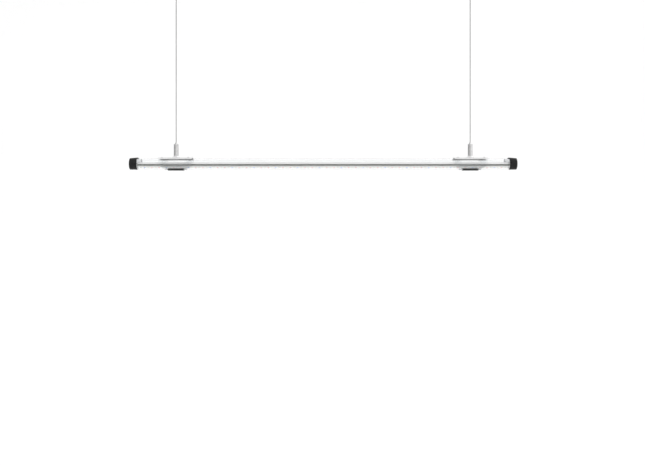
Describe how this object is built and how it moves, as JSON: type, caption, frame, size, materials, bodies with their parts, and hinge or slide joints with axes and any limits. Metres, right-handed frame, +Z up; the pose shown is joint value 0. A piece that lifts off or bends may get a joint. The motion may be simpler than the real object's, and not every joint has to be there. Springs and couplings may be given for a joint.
{
  "type": "led aquarium light",
  "caption": "Slim clear tube aquarium light with an LED rail inside, hung from the ceiling by two clips with wire grippers on thin steel wires.",
  "frame": {"origin": "on the ceiling plane, midway between the screw holes of the two ceiling fittings", "axes": "+X along the tube towards the power inlet, +Z up, +Y away from the viewer"},
  "size_m": [1.172, 0.0408, 0.5706],
  "materials": {
    "fitting_nickel": "satin nickel plate",
    "grommet_white": "moulded",
    "ferrule_steel": "turned",
    "wire_rope": "fine stranded rope",
    "gripper_nickel": "satin nickel, turned",
    "hard_steel": "ground",
    "spring_steel": "drawn wire",
    "plunger_nickel": "satin nickel, turned",
    "collar_nickel": "satin nickel, turned",
    "saddle_metal": "fine brushed sheet",
    "jaw_clear": "clear, slightly hazy",
    "screw_steel": "plain",
    "lock_black": "fine grain",
    "liner_clear": "clear, soft",
    "tube_clear": "clear, polished",
    "rail_aluminium": "extruded, anodised",
    "board_white": "white solder mask",
    "led_white": "lens",
    "led_red": "lens",
    "led_blue": "lens",
    "plug_white": "moulded",
    "seal_grey": "moulded",
    "cap_black": "satin",
    "socket_black": "moulded",
    "contact_brass": "gold flash",
    "lead_red": "insulated lead"
  },
  "bodies": {
    "ceiling": {"left_ceiling_base": "fitting_nickel", "right_ceiling_base": "fitting_nickel", "left_ceiling_cover": "fitting_nickel", "right_ceiling_cover": "fitting_nickel", "left_wire_grommet": "grommet_white", "right_wire_grommet": "grommet_white"},
    "wires": {"left_wire_ferrule": "ferrule_steel", "right_wire_ferrule": "ferrule_steel", "left_suspension_wire": "wire_rope", "right_suspension_wire": "wire_rope"},
    "hangers": {"left_gripper_barrel": "gripper_nickel", "right_gripper_barrel": "gripper_nickel", "left_gripper_cap": "gripper_nickel", "right_gripper_cap": "gripper_nickel", "left_grip_cone": "hard_steel", "right_grip_cone": "hard_steel", "left_plunger_spring": "spring_steel", "right_plunger_spring": "spring_steel", "left_clip_collar": "collar_nickel", "right_clip_collar": "collar_nickel", "left_clip_saddle": "saddle_metal", "right_clip_saddle": "saddle_metal", "left_front_jaw": "jaw_clear", "right_front_jaw": "jaw_clear", "left_rear_jaw": "jaw_clear", "right_rear_jaw": "jaw_clear", "left_clip_screws": "screw_steel", "right_clip_screws": "screw_steel"},
    "left_release": {"left_plunger": "plunger_nickel", "left_grip_balls": "hard_steel"},
    "right_release": {"right_plunger": "plunger_nickel", "right_grip_balls": "hard_steel"},
    "left_lock": {"left_lock_bar": "lock_black"},
    "right_lock": {"right_lock_bar": "lock_black"},
    "liners": {"left_tube_liner": "liner_clear", "right_tube_liner": "liner_clear"},
    "lamp": {"housing_tube": "tube_clear", "carrier_rail": "rail_aluminium", "led_board": "board_white", "white_leds": "led_white", "red_leds": "led_red", "blue_leds": "led_blue", "board_screws": "screw_steel", "left_end_plug": "plug_white", "right_end_plug": "plug_white", "left_seal_ring": "seal_grey", "right_seal_ring": "seal_grey", "left_end_cap": "cap_black", "right_end_cap": "cap_black", "left_cap_screws": "screw_steel", "right_cap_screws": "screw_steel", "inlet_socket": "socket_black", "inlet_gasket": "seal_grey", "inlet_contacts": "contact_brass", "lead_wires": "lead_red"}
  },
  "joints": [
    {"name": "lamp_swing", "type": "hinge", "parent": "ceiling", "child": "wires", "pos_m": [0, 0, -0.03175], "axis": [1, 0, 0], "range_deg": [-15, 15]},
    {"name": "height_slide", "type": "slide", "parent": "wires", "child": "hangers", "axis": [0, 0, 1], "range_m": [0, 0.3], "deforming": ["left_suspension_wire", "right_suspension_wire"]},
    {"name": "left_release_press", "type": "slide", "parent": "hangers", "child": "left_release", "axis": [0, 0, -1], "range_m": [0, 0.0025], "stiffness_N_per_m": 900, "springref_m": -0.002, "deforming": ["left_plunger_spring"]},
    {"name": "right_release_press", "type": "slide", "parent": "hangers", "child": "right_release", "axis": [0, 0, -1], "range_m": [0, 0.0025], "stiffness_N_per_m": 900, "springref_m": -0.002, "deforming": ["right_plunger_spring"]},
    {"name": "left_lock_slide", "type": "slide", "parent": "hangers", "child": "left_lock", "axis": [-1, 0, 0], "range_m": [0, 0.022]},
    {"name": "right_lock_slide", "type": "slide", "parent": "hangers", "child": "right_lock", "axis": [1, 0, 0], "range_m": [0, 0.022]},
    {"name": "tube_turn", "type": "hinge", "parent": "hangers", "child": "liners", "pos_m": [0, 0, -0.55], "axis": [1, 0, 0], "range_deg": [-60, 60]},
    {"name": "tube_shift", "type": "slide", "parent": "liners", "child": "lamp", "axis": [1, 0, 0], "range_m": [-0.06, 0.06]}
  ]
}
